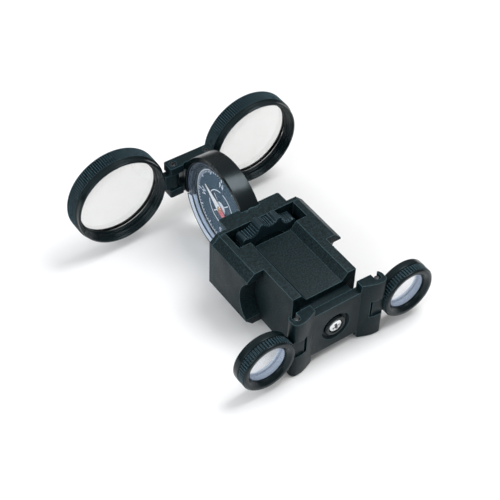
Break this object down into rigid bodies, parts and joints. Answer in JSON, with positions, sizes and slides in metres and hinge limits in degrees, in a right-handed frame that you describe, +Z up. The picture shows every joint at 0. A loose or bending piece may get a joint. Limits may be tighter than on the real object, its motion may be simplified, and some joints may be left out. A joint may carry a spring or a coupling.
{
  "type": "folding pocket binocular with compass",
  "caption": "Folding pocket binocular: a flat case with a geared focus slide, hinged eyepiece and objective rings, and an upright side-reading compass drum between them.",
  "frame": {"origin": "bottom centre of the bounding box, in the open position", "axes": "+Y from the eyepieces to the objectives, +X to the right as seen from the eyepieces, +Z up, across the flat case"},
  "size_m": [0.0994, 0.1026, 0.0425],
  "materials": {
    "black_plastic": "fine-grained moulded black",
    "gloss_black": "satin gloss black",
    "steel": "bright plated steel",
    "dark_steel": "blackened steel",
    "brass": "turned brass",
    "clear_plastic": "clear moulded acrylic, faintly blue",
    "lens_glass": "polished optical surface",
    "dial": "blue-grey printed dial",
    "needle": "thin painted steel, one half red and one half white"
  },
  "bodies": {
    "case": {"case_body": "black_plastic", "end_frame": "black_plastic", "left_upper_frame_screw": "dark_steel", "left_lower_frame_screw": "dark_steel", "right_upper_frame_screw": "dark_steel", "right_lower_frame_screw": "dark_steel", "objective_bridge": "black_plastic", "left_objective_pin": "dark_steel", "right_objective_pin": "dark_steel", "compass_hood": "gloss_black", "compass_capsule": "clear_plastic", "compass_window": "clear_plastic", "compass_dial": "dial", "dial_ring": "gloss_black", "needle_pivot": "brass"},
    "focus_drive": {"focus_wheel": "black_plastic", "focus_screw": "steel"},
    "eyepiece_carriage": {"eyepiece_slide": "black_plastic", "screw_nut": "brass", "eyepiece_bridge": "black_plastic", "bridge_collar": "gloss_black", "bridge_screw": "steel", "left_eyepiece_pin": "steel", "right_eyepiece_pin": "steel"},
    "left_eyepiece": {"left_eyepiece_cell": "black_plastic", "left_eyepiece_lens": "lens_glass", "left_eyepiece_retainer": "gloss_black"},
    "right_eyepiece": {"right_eyepiece_cell": "black_plastic", "right_eyepiece_lens": "lens_glass", "right_eyepiece_retainer": "gloss_black"},
    "left_objective": {"left_objective_cell": "black_plastic", "left_objective_lens": "lens_glass", "left_objective_retainer": "gloss_black"},
    "right_objective": {"right_objective_cell": "black_plastic", "right_objective_lens": "lens_glass", "right_objective_retainer": "gloss_black"},
    "needle": {"compass_needle": "needle"}
  },
  "joints": [
    {"name": "focus_wheel_spin", "type": "hinge", "parent": "case", "child": "focus_drive", "pos_m": [0, -0.00498, 0.0217], "axis": [0, 1, 0], "range_deg": [-360, 180]},
    {"name": "eyepiece_carriage_slide", "type": "slide", "parent": "case", "child": "eyepiece_carriage", "axis": [0, -1, 0], "range_m": [-0.004, 0.002]},
    {"name": "left_eyepiece_fold", "type": "hinge", "parent": "eyepiece_carriage", "child": "left_eyepiece", "pos_m": [-0.0171, -0.04707, 0.02168], "axis": [0, 0, -1], "range_deg": [0, 90]},
    {"name": "right_eyepiece_fold", "type": "hinge", "parent": "eyepiece_carriage", "child": "right_eyepiece", "pos_m": [0.0171, -0.04707, 0.02168], "axis": [0, 0, 1], "range_deg": [0, 90]},
    {"name": "left_objective_fold", "type": "hinge", "parent": "case", "child": "left_objective", "pos_m": [-0.0075, 0.04437, 0.02165], "axis": [0, 0, 1], "range_deg": [0, 90]},
    {"name": "right_objective_fold", "type": "hinge", "parent": "case", "child": "right_objective", "pos_m": [0.0075, 0.04437, 0.02165], "axis": [0, 0, -1], "range_deg": [0, 90]},
    {"name": "compass_needle_spin", "type": "hinge", "parent": "case", "child": "needle", "pos_m": [-0.002, 0.02102, 0.0211], "axis": [-1, 0, 0], "continuous": true}
  ],
  "couplings": [
    {"joint": "focus_wheel_spin", "follows": "eyepiece_carriage_slide", "rad_per_m": 1570.8}
  ]
}
